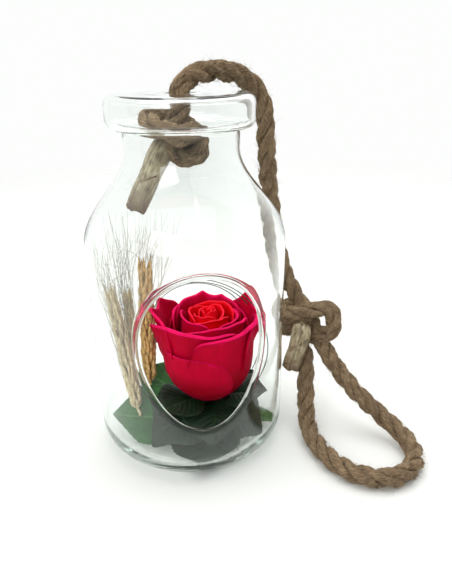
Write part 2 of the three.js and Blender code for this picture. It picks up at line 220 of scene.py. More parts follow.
# ---- Material nodes ----
class Material:
    """A Principled material whose colour, roughness and bump are made by nodes."""

    def __init__(self, name, **sockets):
        self.data = bpy.data.materials.new(name)
        self.data.use_nodes = True
        self.tree = self.data.node_tree
        self.shader = self.tree.nodes["Principled BSDF"]
        self.output = self.tree.nodes["Material Output"]
        for key, value in sockets.items():
            self.shader.inputs[key.replace("_", " ")].default_value = value

    def node(self, kind, inputs=None, **settings):
        made = self.tree.nodes.new("ShaderNode" + kind)
        for key, value in settings.items():
            setattr(made, key, value)
        for key, value in (inputs or {}).items():
            if isinstance(value, bpy.types.NodeSocket):
                self.tree.links.new(value, made.inputs[key])
            else:
                made.inputs[key].default_value = value
        return made

    def math(self, operation, a, b=0.0):
        return self.node("Math", {0: a, 1: b}, operation=operation).outputs[0]

    def times(self, a, b):
        return self.math("MULTIPLY", a, b)

    def shares(self, a, share_a, b, share_b):
        """Two values added up, each times its share."""
        return self.math("ADD", self.times(a, share_a), self.times(b, share_b))

    def uv(self):
        """The two texture coordinates of the piece, as separate values."""
        made = self.node("SeparateXYZ", {0: self.node("UVMap", uv_map="UVMap").outputs[0]})
        return made.outputs[0], made.outputs[1]

    def place(self):
        return self.node("TexCoord").outputs["Object"]

    def stretched(self, x, y, z=0.0):
        return self.node("CombineXYZ", {0: x, 1: y, 2: z}).outputs[0]

    def noise(self, scale, vector=None, detail=4.0, roughness=0.55, distortion=0.0):
        made = self.node("TexNoise", {"Scale": scale, "Detail": detail, "Roughness": roughness,
                                      "Distortion": distortion, "Vector": vector or self.place()})
        return made.outputs[0]

    def streaks(self, along, round_, along_scale, round_scale, detail=4.0, distortion=0.0):
        """Noise drawn out along a piece."""
        drawn = self.stretched(self.times(along, along_scale), self.times(round_, round_scale))
        return self.noise(1.0, drawn, detail=detail, distortion=distortion)

    def ramp(self, value, stops):
        made = self.node("ValToRGB", {0: value})
        elements = made.color_ramp.elements
        while len(elements) < len(stops):
            elements.new(0.5)
        for element, (position, colour) in zip(elements, stops):
            element.position = position
            element.color = (*colour, 1)
        return made.outputs[0]

    def levels(self, value, low, high, out_low=0.0, out_high=1.0):
        return self.node("MapRange", {0: value, 1: low, 2: high, 3: out_low, 4: out_high}).outputs[0]

    def mix(self, factor, a, b):
        made = self.node("Mix", {0: factor}, data_type="RGBA", blend_type="MIX")
        for socket, value in ((made.inputs[6], a), (made.inputs[7], b)):
            if isinstance(value, bpy.types.NodeSocket):
                self.tree.links.new(value, socket)
            else:
                socket.default_value = (*value, 1)
        return made.outputs[2]

    def bump(self, height, distance, strength=1.0):
        inputs = {"Height": height, "Distance": distance, "Strength": strength}
        return self.node("Bump", inputs).outputs[0]

    def surface(self, factor, other):
        """Shows another shader in place of the Principled one, by a factor."""
        both = self.node("MixShader", {0: factor, 1: self.shader.outputs[0], 2: other.outputs[0]})
        self.tree.links.new(both.outputs[0], self.output.inputs["Surface"])

    def connect(self, **links):
        for key, socket in links.items():
            self.tree.links.new(socket, self.shader.inputs[key.replace("_", " ")])
        return self.data


def glass_material():
    m = Material("bottle_glass", Roughness=0.0, IOR=1.46, Transmission_Weight=1.0)
    waves = m.noise(14.0, detail=2.0)
    tint = m.ramp(m.noise(9.0, detail=1.0), [(0.3, (0.965, 0.985, 0.975)), (0.7, (0.99, 0.995, 0.99))])
    m.connect(Base_Color=tint, Normal=m.bump(waves, 0.0006, 0.25))
    # Lamps shine through the glass, so that what is inside is lit.
    clear = m.node("BsdfTransparent", {0: (0.93, 0.95, 0.94, 1)})
    m.surface(m.node("LightPath").outputs["Is Shadow Ray"], clear)
    absorbed = m.node("VolumeAbsorption", {"Color": (0.62, 0.76, 0.7, 1), "Density": 12.0})
    m.tree.links.new(absorbed.outputs[0], m.output.inputs["Volume"])
    return m.data


def jute_material(dark, middle, pale):
    """Twisted jute: long fibres that run at a slant along each strand, with pale and dark ones. The pale
    raised threads are partly painted highlight, and the gaps between them hold painted shade.
    """
    m = Material("jute", Roughness=0.9, Specular_IOR_Level=0.2, Sheen_Weight=0.25,
                 Sheen_Roughness=0.6, Sheen_Tint=(1.0, 0.86, 0.66, 1))
    along, round_ = m.uv()
    slant = m.shares(round_, 22.0, along, 9.0)
    fibres = m.noise(1.0, m.stretched(m.times(along, 2.2), slant), detail=5.0, distortion=0.6)
    fine = m.noise(2.6, m.stretched(m.times(along, 2.0), slant, 3.7), detail=3.0, distortion=0.3)
    patches = m.noise(160.0, detail=3.0)
    mixed = m.shares(fibres, 0.6, patches, 0.4)
    colour = m.ramp(mixed, [(0.38, dark), (0.5, middle), (0.62, pale)])
    # Pale threads on the raised fibres: partly lighter fibres, partly painted highlight.
    pale_fibres_and_highlight = m.levels(fine, 0.48, 0.6)
    colour = m.mix(m.times(pale_fibres_and_highlight, 0.6), colour, pale)
    # Painted shade: the gaps between the fibres, low in the bump, are darkened.
    painted_gap_shade = m.levels(fine, 0.34, 0.44, 0.75, 0.0)
    colour = m.mix(painted_gap_shade, colour, dark)
    height = m.math("ADD", fibres, m.times(fine, 1.2))
    return m.connect(Base_Color=colour, Normal=m.bump(height, 0.0022, 1.0))


def fibre_material(dark, pale):
    m = Material("jute_fibre", Roughness=0.85, Specular_IOR_Level=0.2)
    colour = m.ramp(m.noise(220.0, detail=1.0), [(0.35, dark), (0.65, pale)])
    return m.connect(Base_Color=colour)


def wrap_material():
    """The end of the rope, soaked in clear glue: pale, a little shiny, and dark where it is cut."""
    m = Material("glued_end", Roughness=0.5, Coat_Weight=0.25, Coat_Roughness=0.25)
    along, round_ = m.uv()
    streaks = m.streaks(along, round_, 5.0, 18.0, detail=5.0)
    cloudy = m.noise(260.0, detail=4.0)
    mixed = m.shares(streaks, 0.6, cloudy, 0.4)
    brown, tan, cream = (0.13, 0.09, 0.045), (0.36, 0.29, 0.17), (0.58, 0.51, 0.35)
    colour = m.ramp(mixed, [(0.38, brown), (0.5, tan), (0.62, cream)])
    cut = m.levels(m.math("ADD", along, m.levels(cloudy, 0.3, 0.7, -0.12, 0.12)), 0.62, 0.98)
    colour = m.mix(m.times(cut, 0.85), colour, (0.12, 0.065, 0.03))
    return m.connect(Base_Color=colour, Roughness=m.levels(cloudy, 0.3, 0.7, 0.35, 0.65),
                     Normal=m.bump(streaks, 0.0016, 0.8))


def petal_material(name, deep_and_shade, body, rim):
    """Velvety dyed petal: u runs across it from 0 to 1 and v from its base to its rim."""
    m = Material(name, Roughness=0.62, Specular_IOR_Level=0.06, Subsurface_Weight=0.1,
                 Subsurface_Scale=0.002, Subsurface_Radius=(1.0, 0.02, 0.1), Sheen_Weight=0.1,
                 Sheen_Roughness=0.4, Sheen_Tint=(1.0, 0.02, 0.3, 1))
    u, v = m.uv()
    veins = m.streaks(u, v, 60.0, 4.0, distortion=0.4)
    mottle = m.noise(110.0, detail=4.0)
    clouds = m.noise(45.0, detail=2.0)
    height = m.math("ADD", v, m.levels(mottle, 0.3, 0.7, -0.04, 0.04))
    # Darker towards the petal's base: partly a deeper dyed red, partly painted shade from the leaves and
    # outer petals around it.
    colour = m.ramp(height, [(0.16, deep_and_shade), (0.55, body)])
    off = m.math("ABSOLUTE", m.math("SUBTRACT", u, 0.5))
    # The rim colour on the upturned rolled lip, along its top and not its sides: partly a pinker rim, partly
    # painted highlight.
    lip_tone_and_highlight = m.times(m.levels(height, 0.7, 0.86), m.levels(off, 0.34, 0.47, 1.0, 0.0))
    colour = m.mix(lip_tone_and_highlight, colour, rim)
    colour = m.mix(m.levels(clouds, 0.42, 0.68, 0.0, 0.4), colour, deep_and_shade)
    colour = m.mix(m.times(m.levels(veins, 0.38, 0.62), 0.16), colour, deep_and_shade)
    relief = m.shares(veins, 0.5, mottle, 0.5)
    return m.connect(Base_Color=colour, Normal=m.bump(relief, 0.0006, 0.35),
                     Roughness=m.levels(mottle, 0.3, 0.7, 0.55, 0.7))


def leaf_material(name, dark, green, vein):
    """Preserved leaf: u runs across it, 0.5 at the midrib, and v from its stalk to its tip."""
    m = Material(name, Roughness=0.42, Specular_IOR_Level=0.45, Subsurface_Weight=0.05,
                 Subsurface_Scale=0.002, Subsurface_Radius=(0.3, 1.0, 0.2))
    u, v = m.uv()
    off = m.math("ABSOLUTE", m.math("SUBTRACT", u, 0.5))
    slant = m.math("SUBTRACT", m.times(v, 9.0), m.times(off, 7.0))
    wave = m.math("ABSOLUTE", m.math("SUBTRACT", m.math("FRACT", slant), 0.5))
    side_veins = m.levels(wave, 0.0, 0.09, 1.0, 0.0)
    midrib = m.levels(off, 0.008, 0.028, 1.0, 0.0)
    veins = m.math("MAXIMUM", m.times(side_veins, 0.45), midrib)
    cell_edge = m.node("TexVoronoi", {"Scale": 900.0, "Vector": m.place()}, feature="DISTANCE_TO_EDGE")
    mottle = m.noise(130.0, detail=4.0)
    colour = m.ramp(mottle, [(0.3, dark), (0.7, green)])
    colour = m.mix(m.times(veins, 0.55), colour, vein)
    cells = m.levels(cell_edge.outputs[0], 0.0, 0.08)
    relief = m.math("SUBTRACT", m.times(cells, 0.25), veins)
    return m.connect(Base_Color=colour, Normal=m.bump(relief, 0.0005, 0.6),
                     Roughness=m.levels(mottle, 0.3, 0.7, 0.36, 0.52))


def plant_material(name, low, high, scale, roughness=0.6, stretch=1.0):
    """Straw, stems and grass: streaks along the piece, from low to high in colour."""
    m = Material(name, Roughness=roughness, Specular_IOR_Level=0.35)
    along, round_ = m.uv()
    streaks = m.streaks(along, round_, stretch, 9.0)
    mixed = m.shares(streaks, 0.5, m.noise(scale, detail=3.0), 0.5)
    return m.connect(Base_Color=m.ramp(mixed, [(0.36, low), (0.62, high)]),
                     Normal=m.bump(streaks, 0.0004, 0.5))


def glue_material():
    m = Material("clear_glue", Roughness=0.28, IOR=1.45, Transmission_Weight=0.55)
    cloudy = m.noise(150.0, detail=5.0)
    colour = m.ramp(cloudy, [(0.35, (0.62, 0.64, 0.6)), (0.65, (0.9, 0.91, 0.88))])
    return m.connect(Base_Color=colour, Roughness=m.levels(cloudy, 0.3, 0.7, 0.2, 0.45),
                     Normal=m.bump(cloudy, 0.0015, 0.6))


jute = jute_material((0.085, 0.042, 0.016), (0.27, 0.155, 0.075), (0.58, 0.41, 0.235))
jute_fibre = fibre_material((0.3, 0.19, 0.1), (0.72, 0.56, 0.36))
glued = wrap_material()

# ---- Jute rope ----
ROPE_LAY = 0.038          # one whole turn of the strands
STRAND_RADIUS = 0.00285
STRAND_OFFSET = 0.0031
YARNS = 6
YARN_LAY = 0.034          # one whole turn of a strand's yarns
YARN_DEPTH = 0.1
ROPE_SURFACE = 0.00545    # where loose fibres start, from the middle of the rope
ROPE_STEP = 0.0011

# Under the plate: out of the hole, once round itself as a stopper knot, and a stiff tail.
INNER_ROUTE = [
    (0, 0, 0.214), (-0.0015, 0, 0.2085), (-0.005, 0.0005, 0.202), (-0.007, 0, 0.1955),
    (-0.004, -0.001, 0.1885), (0.0045, -0.001, 0.185), (0.011, 0.001, 0.19), (0.0095, 0.006, 0.1975),
    (0, 0.0125, 0.2035), (-0.0115, 0.0105, 0.2065), (-0.0185, 0.001, 0.206), (-0.0135, -0.01, 0.203),
    (-0.002, -0.0125, 0.1985), (0.005, -0.008, 0.2), (0, 0.009, 0.193), (-0.01, 0.004, 0.19),
    (-0.015, -0.0005, 0.184), (-0.0185, -0.001, 0.177), (-0.0235, -0.001, 0.167),
    (-0.0285, -0.001, 0.157),
]
# Up out of the hole, over the collar, down behind the shoulder and through the knot.
SPAN_ROUTE = [
    (0, 0, 0.215), (0, 0, 0.2195), (0.0032, 0.0013, 0.2256), (0.012, 0.005, 0.2294),
    (0.025, 0.0103, 0.2302), (0.039, 0.016, 0.227), (0.05, 0.0207, 0.218), (0.0554, 0.0229, 0.205),
    (0.0572, 0.0236, 0.183), (0.0605, 0.025, 0.154), (0.067, 0.027, 0.12), (0.073, 0.024, 0.096),
    (0.08, 0.019, 0.082), (0.0865, 0.0085, 0.068), (0.092, -0.002, 0.054),
]
# Round the floor and back up to the knot.
LOOP_ROUTE = [
    (0.097, -0.014, 0.043), (0.106, -0.027, 0.03), (0.1215, -0.042, 0.015), (0.13, -0.059, 0.008),
    (0.128, -0.073, 0.0064), (0.117, -0.084, 0.0062), (0.102, -0.087, 0.0062), (0.087, -0.08, 0.0062),
    (0.077, -0.065, 0.0062), (0.073, -0.045, 0.0062), (0.0735, -0.028, 0.01), (0.0765, -0.015, 0.025),
    (0.079, -0.006, 0.042), (0.08, 0.004, 0.054),
]
KNOT_MIDDLE = (0.0865, 0.0085, 0.068)
# The turns of the knot, from the standing part's middle: right, up and front, in metres.
KNOT_TURNS = [
    (-0.003, -0.005, -0.0085), (-0.007, 0.0045, -0.0095), (-0.014, 0.009, -0.005),
    (-0.018, 0.006, 0.0015), (-0.015, 0.003, 0.007), (-0.0075, 0.0035, 0.01), (0.001, 0.006, 0.0105),
    (0.009, 0.008, 0.008), (0.015, 0.0045, 0.0055), (0.0165, -0.0025, 0.004), (0.013, -0.0085, 0.003),
    (0.006, -0.011, 0.001), (-0.001, -0.0105, -0.006), (-0.009, -0.0095, -0.0065),
    (-0.015, -0.0075, -0.001), (-0.013, -0.0035, 0.0045), (-0.006, -0.002, 0.007),
]
KNOT_TAIL = [
    (-0.0055, -0.009, 0.0105), (-0.0075, -0.019, 0.0115), (-0.01, -0.028, 0.011),
    (-0.0118, -0.034, 0.0105),
]


def knot_place(turns):
    """Points given as right, up and front of the knot's middle, as someone in front sees it."""
    right, front = unit([0.924, -0.381, 0]), unit([-0.343, -0.832, 0.434])
    up = np.cross(front, right)
    return [tuple(np.array(KNOT_MIDDLE) + r * right + u * up + f * front) for r, u, f in turns]


def rope(name, route, replaced, seed):
    """Three strands of twisted yarns laid round the route."""
    path = smooth_path(route, ROPE_STEP)
    tangent, normal, binormal = frames_along(path)
    along = steps_along(path)
    build = Build()
    sides = 20
    random_ = np.random.default_rng(seed)
    for strand in range(3):
        turn = 2 * math.pi * (along / ROPE_LAY + strand / 3)
        wander = 1 + 0.06 * np.sin(along / 0.0031 + strand) + 0.04 * np.sin(along / 0.0017 + 2 * strand)
        centre = path + STRAND_OFFSET * (normal * np.cos(turn)[:, None] + binormal * np.sin(turn)[:, None])
        twist = (2 * math.pi * YARNS * along / YARN_LAY)[:, None]
        yarn = np.cos(YARNS * round_angles(sides)[None] - twist + strand)
        lumps = random_.normal(0, 0.02, (len(path), sides))
        radius = STRAND_RADIUS * (wander[:, None] + YARN_DEPTH * yarn + lumps)
        build.tube(centre, radius, sides)
    piece = build.finish(name, jute, "jute", replaced)
    return piece, path


def fuzz(name, path, seed, per_metre, stray, length=0.009):
    """Loose fibres that lie along the rope and lift off it at their ends."""
    random_ = random.Random(seed)
    tangent, normal, binormal = frames_along(path)
    build = Build()
    count = int(per_metre * steps_along(path)[-1])
    for _ in range(count):
        i = random_.randrange(2, len(path) - 2)
        angle = random_.uniform(0, 2 * math.pi)
        out = normal[i] * math.cos(angle) + binormal[i] * math.sin(angle)
        side = np.cross(tangent[i], out)
        way = random_.choice((-1, 1)) * tangent[i] * random_.uniform(0.5, 1)
        way = unit(way + side * random_.uniform(-0.9, 0.9))
        size = length * random_.uniform(0.35, 1.0)
        tame = random_.random() > stray
        lift = random_.uniform(0.0002, 0.0012) if tame else random_.uniform(0.0015, 0.0045)
        start = path[i] + out * (ROPE_SURFACE * random_.uniform(0.93, 1.0))
        curl = side * random_.uniform(-1, 1) * size * 0.3
        t = np.array([0, 0.34, 0.68, 1])[:, None]
        rise = lift * t * t + 0.0004 * np.sin(math.pi * t) - (0.12 * size * t * t if tame else 0)
        points = start + way * size * t + out * rise + curl * t * t
        points[:, 2] = np.maximum(points[:, 2], 0.0004)
        build.tube(points, np.array([0.00007, 0.00006, 0.00005, 0.00002]), 3)
    return build.finish(name, jute_fibre, "jute")


outer_route = SPAN_ROUTE + LOOP_ROUTE + knot_place(KNOT_TURNS + KNOT_TAIL)
outer_rope, outer_path = rope("jute_rope_outer", outer_route,
                              ("rope_span", "rope_loop", "rope_outer_knot", "rope_outer_end"), 11)
inner_rope, inner_path = rope("jute_rope_inner", INNER_ROUTE, ("rope_inner_knot", "rope_inner_end"), 12)
outer_fuzz = fuzz("jute_fibres_outer", outer_path, 21, 4600, 0.2)
inner_fuzz = fuzz("jute_fibres_inner", inner_path, 22, 1500, 0.08)


def glued_sleeve(name, path, steps, radius, replaced, seed):
    """The glued wrap on a cut end: an uneven tube round the last stretch, with a ragged rim."""
    stretch = path[-steps:]
    sides = 36
    angle = round_angles(sides)
    along = np.linspace(0, 1, steps)[:, None]
    ridges = 0.022 * np.sin(angle * 7 + along * 2.5) + 0.018 * np.sin(angle * 13 - along * 4)
    swell = 0.05 * np.sin(along * 9) - 0.16 * along ** 3 - 0.06 * (1 - along) ** 12
    rough = np.random.default_rng(seed).normal(0, 0.006, (steps, sides))
    build = Build()
    build.tube(stretch, radius * (1 + ridges + swell + rough), sides, uv_step=steps_along(stretch)[-1])
    return build.finish(name, glued, "end_wrap", replaced)


inner_sleeve = glued_sleeve("inner_end_wrap", inner_path, 42, 0.0066, ("inner_end_sleeve",), 31)
outer_sleeve = glued_sleeve("outer_end_wrap", outer_path, 28, 0.0063, ("outer_end_sleeve",), 32)


# ---- Glass bottle ----
RADIUS, HEIGHT, WALL, FLOOR = 0.06, 0.22, 0.002, 0.004
FOOT_CORNER = 0.02
SHOULDER_LOW, SHOULDER_HIGH = 0.1385, 0.191
NECK_RADIUS = 0.033
COLLAR_RADIUS, COLLAR_LOW, COLLAR_CORNER = 0.042, 0.202, 0.0048
NECK_CORNER, NECK_INNER_CORNER = 0.0022, 0.003
ROPE_HOLE = 0.0083
PUSH_UP, PUSH_UP_RADIUS = 0.0012, 0.026
WINDOW_HALF_WIDTH, WINDOW_HALF_HEIGHT, WINDOW_CENTRE, WINDOW_EGG = 0.0372, 0.0484, 0.0858, 0.1
WINDOW_SIDE = -0.0011     # the window's middle, a little to the left of the front
BEAD = 0.0018             # half the thickness of the fire-polished rim
BEAD_SEAT = 0.0582
BEAD_BLEND = 0.0016
PATCH_LOW, PATCH_HIGH, PATCH_ROWS = 0.026, 0.1505, 42
PATCH_REACH = 0.062       # about half the patch's height
PATCH_HALF_ANGLE = 54
GLASS_SIDES = 160


def outer_radius(z):
    return RADIUS + (NECK_RADIUS - RADIUS) * smoothstep(SHOULDER_LOW, SHOULDER_HIGH, z)


def arc(cr, cz, radius, start, end, steps):
    angle = np.radians(np.linspace(start, end, steps + 1))
    return [(cr + radius * math.cos(a), cz + radius * math.sin(a)) for a in angle]


def glass_profile():
    """Rows (radius, height) of the outside from the foot up, then of the inside down."""
    corner, inner_corner = COLLAR_CORNER, COLLAR_CORNER - WALL * 0.8
    patch = np.linspace(PATCH_LOW, PATCH_HIGH, PATCH_ROWS + 1)
    shoulder = np.linspace(PATCH_HIGH, SHOULDER_HIGH, 15)[1:]
    outside = [(PUSH_UP_RADIUS * t, PUSH_UP) for t in (0.25, 0.5, 0.75, 1)]
    outside += [(PUSH_UP_RADIUS + 0.0015, PUSH_UP * 0.4), (PUSH_UP_RADIUS + 0.004, 0.0002), (0.034, 0.0)]
    outside += arc(RADIUS - FOOT_CORNER, FOOT_CORNER, FOOT_CORNER, -90, 0, 18)
    outside += [(RADIUS, 0.023)]
    low_row = len(outside)
    outside += [(float(outer_radius(z)), z) for z in patch]
    high_row = len(outside) - 1
    outside += [(float(outer_radius(z)), z) for z in shoulder]
    outside += [(NECK_RADIUS, 0.1955), (NECK_RADIUS, COLLAR_LOW - 0.0026)]
    outside += arc(NECK_RADIUS + NECK_CORNER, COLLAR_LOW - NECK_CORNER, NECK_CORNER, 180, 90, 5)
    outside += arc(COLLAR_RADIUS - corner, COLLAR_LOW + corner, corner, -90, 0, 8)
    outside += arc(COLLAR_RADIUS - corner, HEIGHT - corner, corner, 0, 90, 8)
    outside += [(0.03, HEIGHT), (0.022, HEIGHT - 0.0001), (0.014, HEIGHT)]
    outside += arc(ROPE_HOLE + WALL / 2, HEIGHT - WALL / 2, WALL / 2, 90, 180, 4)
    turn = len(outside)
    inside = arc(ROPE_HOLE + WALL / 2, HEIGHT - WALL / 2, WALL / 2, 180, 270, 4)[1:]
    inside += [(0.014, HEIGHT - WALL), (0.022, HEIGHT - WALL), (0.03, HEIGHT - WALL)]
    r = COLLAR_RADIUS - WALL - inner_corner
    inside += arc(r, HEIGHT - WALL - inner_corner, inner_corner, 90, 0, 8)
    inside += arc(r, COLLAR_LOW + WALL + inner_corner, inner_corner, 0, -90, 8)
    corner = NECK_INNER_CORNER
    inside += arc(NECK_RADIUS - WALL + corner, COLLAR_LOW + WALL - corner, corner, 90, 180, 6)
    inside += [(NECK_RADIUS - WALL, 0.1955)]
    inside += [(float(outer_radius(z)) - WALL, z) for z in shoulder[::-1]]
    inner_high_row = turn + len(inside)
    inside += [(float(outer_radius(z)) - WALL, z) for z in patch[::-1]]
    inside += [(RADIUS - WALL, 0.023)]
    inner = FOOT_CORNER - WALL
    inside += arc(RADIUS - WALL - inner, FLOOR + inner, inner, 0, -90, 18)
    inside += [(0.03, FLOOR), (0.02, FLOOR), (0.01, FLOOR)]
    return outside + inside, low_row, high_row, inner_high_row


def on_wall(angle, radius, z):
    return [radius * math.sin(angle), -radius * math.cos(angle), z]


def glass_bottle():
    """The turned bottle, with the window and its rounded rim let into a patch of its wall."""
    profile, low_row, high_row, inner_high_row = glass_profile()
    step = 2 * math.pi / GLASS_SIDES
    half = round(math.radians(PATCH_HALF_ANGLE) / step)
    columns = range(-half, half + 1)
    points, faces = [], []
    for r, z in profile:
        points += [on_wall(c * step, r, z) for c in range(GLASS_SIDES)]
    inner_low_row = inner_high_row + PATCH_ROWS

    def at(row, column):
        return row * GLASS_SIDES + column % GLASS_SIDES

    for row in range(len(profile) - 1):
        patch = low_row <= row < high_row or inner_high_row <= row < inner_low_row
        for c in range(GLASS_SIDES):
            if not patch or half <= c < GLASS_SIDES - half:
                faces.append([at(row, c), at(row, c + 1), at(row + 1, c + 1), at(row + 1, c)])
    for row, z, flip in ((0, PUSH_UP, True), (len(profile) - 1, FLOOR, False)):
        points.append([0, 0, z])
        for c in range(GLASS_SIDES):
            tip = [len(points) - 1, at(row, c), at(row, c + 1)]
            faces.append(tip[::-1] if flip else tip)
    # The window: rings of points from its rim out to the edge of the patch, on both faces.
    border = [(low_row, c) for c in columns]
    border += [(r, half) for r in range(low_row + 1, high_row + 1)]
    border += [(high_row, c) for c in reversed(columns[:-1])]
    border += [(r, -half) for r in range(high_row - 1, low_row, -1)]
    round_steps, spread_steps = 6, 13
    rows = []
    for r, c in border:
        edge_z = profile[r][1]
        side = c * step
        lean = math.atan2((edge_z - WINDOW_CENTRE) / PATCH_REACH, side / math.radians(PATCH_HALF_ANGLE))
        x = WINDOW_SIDE + (WINDOW_HALF_WIDTH - BEAD) * math.cos(lean) * (1 + WINDOW_EGG * math.sin(lean))
        z = WINDOW_CENTRE + (WINDOW_HALF_HEIGHT - BEAD) * math.sin(lean)
        start = np.array([RADIUS * math.asin(x / RADIUS), z])
        end = np.array([RADIUS * side, edge_z])
        span = np.linalg.norm(end - start)
        distances = [BEAD * (1 - math.cos(math.pi / 2 * k / round_steps)) for k in range(round_steps + 1)]
        distances += [BEAD + (span - BEAD) * (k / spread_steps) ** 1.5 for k in range(1, spread_steps + 1)]
        rows.append((start, (end - start) / span, distances))
    count = len(border)
    rim = len(points)
    ring_rows = {1: [], -1: []}
    for j in range(round_steps + spread_steps):
        for side in (1, -1):
            if j == 0 and side == -1:
                ring_rows[-1].append(ring_rows[1][0])
                continue
            ring_rows[side].append(list(range(len(points), len(points) + count)))
            for start, way, distances in rows:
                n = distances[j]
                flat = start + way * n
                swell = 1 - smoothstep(BEAD, BEAD + BEAD_BLEND, n)
                middle = outer_radius(flat[1]) - WALL / 2
                seat = middle + (BEAD_SEAT - (RADIUS - WALL / 2)) * swell
                thick = WALL / 2 + (BEAD - WALL / 2) * swell
                if n < BEAD:
                    thick = BEAD * math.sqrt(max(0.0, 1 - (1 - n / BEAD) ** 2))
                points.append(on_wall(flat[0] / RADIUS, seat + side * thick, flat[1]))
    outer_border = [at(r, c) for r, c in border]
    inner_border = [at(inner_low_row - (r - low_row), c) for r, c in border]
    ring_rows[1].append(outer_border)
    ring_rows[-1].append(inner_border)
    for side in (1, -1):
        for near, far in zip(ring_rows[side], ring_rows[side][1:]):
            for k in range(count):
                quad = [near[k], near[(k + 1) % count], far[(k + 1) % count], far[k]]
                faces.append(quad[::-1] if side == 1 else quad)
    build = Build()
    build.add(points, faces)
    tidy_mesh(build.finish("bottle", glass_material(), "bottle_glass", ("glass_bottle",)))


def tidy_mesh(piece):
    """Removes unused points and turns every face outwards."""
    bm = bmesh.new()
    bm.from_mesh(piece.data)
    bmesh.ops.delete(bm, geom=[v for v in bm.verts if not v.link_faces], context="VERTS")
    bmesh.ops.recalc_face_normals(bm, faces=bm.faces)
    bm.to_mesh(piece.data)
    bm.free()
    piece.data.update()


glass_bottle()

# ---- Room inside the bottle ----
INSIDE = 0.0555           # nothing inside the bottle reaches further out than this


def kept_inside(points):
    points = np.array(points, float)
    far = np.hypot(points[:, 0], points[:, 1])
    limit = np.minimum(INSIDE, outer_radius(points[:, 2]) - WALL - 0.0015)
    points[:, :2] *= np.minimum(1, limit / np.maximum(far, 1e-9))[:, None]
    return points


# ---- Rose head ----
ROSE_X, ROSE_Y, ROSE_BASE = 0.0112, -0.0064, 0.027
PETAL_THICKNESS = 0.0005
# The cup that all petals follow: shares of the petal's radius, at heights above the base.
CUP_HEIGHTS = [0.0, 0.002, 0.0062, 0.0115, 0.0172, 0.025, 0.033, 0.07]
CUP_SHARES = [0.1, 0.3, 0.52, 0.71, 0.855, 0.965, 1.0, 1.0]
WALL_SHARE = 0.74         # the part of a petal's length below its rolled lip
LIP_SWING = np.radians(150)
HEART_PETALS = 9          # the innermost petals, which are a purer red
GOLDEN_TURN = 137.5

# Each inner petal: its radius, and how far its rim leans in or out, as a share of the radius.
INNER_PETALS = [
    (0.0032, -0.35), (0.005, -0.35), (0.0068, -0.32), (0.0086, -0.3), (0.0104, -0.26), (0.0121, -0.22),
    (0.0137, -0.18), (0.0152, -0.14), (0.0166, -0.11), (0.0178, -0.08), (0.0189, -0.05), (0.0226, -0.02),
]
# Each outer petal: turn, half spread, radius, slope of the radius across it, top, flare and lip
# roll, then its tips as (place across it, width, rise, reach out).
OUTER_PETALS = [
    (84, 80, 0.0204, -0.0004, 0.0918, 0.0006, 0.0011,
     [(0.04, 0.09, 0.0024, 0.0), (-0.36, 0.07, 0.0011, 0.001)]),
    (78, 82, 0.0262, -0.0004, 0.085, 0.0004, 0.0008, []),
    (286, 76, 0.024, -0.0026, 0.0893, 0.0002, 0.001, []),
    (238, 76, 0.0272, -0.0024, 0.0886, 0.001, 0.0016,
     [(0.3, 0.5, -0.0012, 0.0), (-0.8, 0.3, 0.0, 0.0045)]),
    (2, 58, 0.0274, -0.0004, 0.088, 0.0026, 0.0009,
     [(0.36, 0.17, 0.0078, 0.001), (-0.3, 0.15, 0.0006, 0.0052)]),
    (162, 50, 0.0268, 0.0000, 0.09, 0.0026, 0.001,
     [(-0.3, 0.24, 0.005, 0.0035), (0.34, 0.22, 0.0052, 0.006)]),
    (308, 74, 0.0287, -0.0002, 0.0868, 0.0008, 0.0016, [(-0.35, 0.25, -0.0012, 0.0)]),
    (208, 84, 0.0295, -0.0002, 0.07, 0.0003, 0.0001,
     [(-0.5, 0.35, -0.003, 0.0), (0.55, 0.3, 0.001, 0.0)]),
]


def petal(number, turn, spread, radius, slope, top, flare, roll, tips, material):
    """A cupped petal on its own layer; its rim rolls outwards and may draw out into tips."""
    u, v = across_along(61, 52)
    wall = np.minimum(v / WALL_SHARE, 1) ** 0.9
    curl = np.clip((v - WALL_SHARE) / (1 - WALL_SHARE), 0, 1)
    base = ROSE_BASE + 0.12 * (OUTER_PETALS[-1][2] - radius)
    crest = top - 0.006 * np.abs(u) ** 3.0 - 0.016 * np.abs(u) ** 10
    crest = crest + 0.0006 * np.sin(u * 4.1 + number) + 0.00025 * np.sin(u * 13 + 2 * number)
    out = 0 * u
    for place, wide, rise, reach in tips:
        bell = np.exp(-np.abs((u - place) / wide) ** 1.5)
        crest = crest + rise * bell
        out = out + reach * bell
    fold = roll * (1 - 0.55 * np.abs(u) ** 4) * (1 + 0.18 * np.sin(u * 3 + 1.7 * number))
    high = smoothstep(0.5, 1, wall)
    z = base + (crest - fold - base) * wall
    share = np.interp(z - base, CUP_HEIGHTS, CUP_SHARES)
    r = radius * share + slope * u * smoothstep(0.1, 0.6, wall)
    r = r + (flare + out) * high ** 1.5 + 0.0004 * high * np.sin(u * 5.2 + number * 1.9)
    swing = LIP_SWING * curl
    r = r + fold * (1 - np.cos(swing))
    z = z + fold * np.sin(swing)
    width = 0.4 + 0.6 * smoothstep(0, 0.3, v)
    angle = math.radians(turn) + math.radians(spread) * u * width
    surface = stacked(ROSE_X + r * np.cos(angle), ROSE_Y + r * np.sin(angle), z)
    sheet_piece(f"petal_{number:02d}", surface, PETAL_THICKNESS, stacked((u + 1) / 2, v), material,
                "petal", (f"rose_petal_{number:02d}",))


